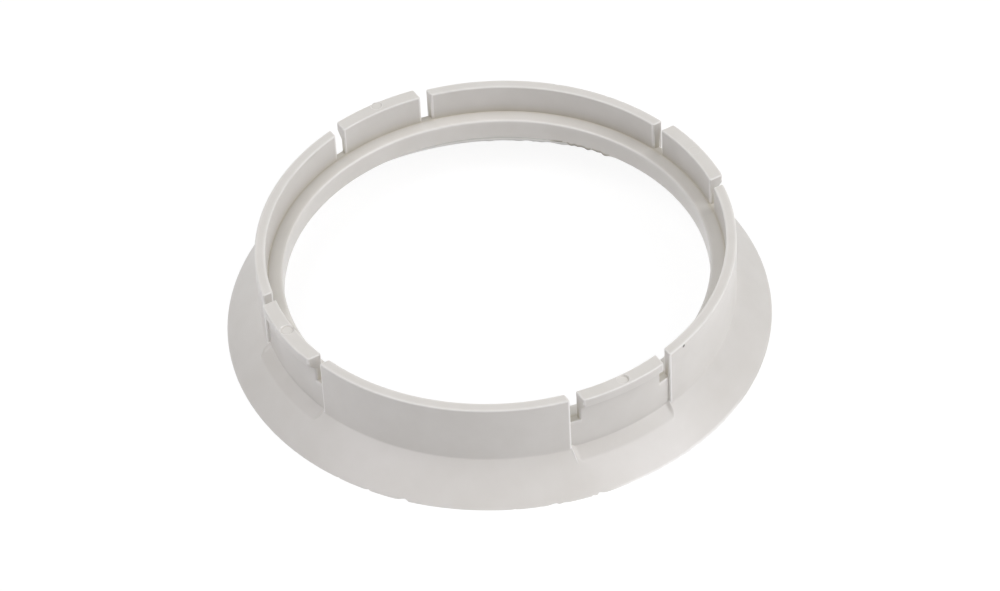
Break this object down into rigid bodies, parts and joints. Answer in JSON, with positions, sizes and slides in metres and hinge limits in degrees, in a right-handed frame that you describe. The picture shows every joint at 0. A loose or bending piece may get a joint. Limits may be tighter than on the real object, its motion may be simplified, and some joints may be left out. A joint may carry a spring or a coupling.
{
  "type": "hub centric ring",
  "caption": "Moulded plastic ring with a flared skirt and a slotted collar with spring clips, which centres a wheel's bore on a smaller hub.",
  "frame": {"origin": "on the ring's axis, in the base plane that the skirt stands on", "axes": "+Z along the ring's axis, from the skirt towards the collar; +X through the middle of a clip"},
  "size_m": [0.0838, 0.0838, 0.0154],
  "materials": {
    "ring_plastic": "satin off-white moulded plastic"
  },
  "bodies": {
    "root": {"hub_ring": "ring_plastic"}
  },
  "joints": []
}
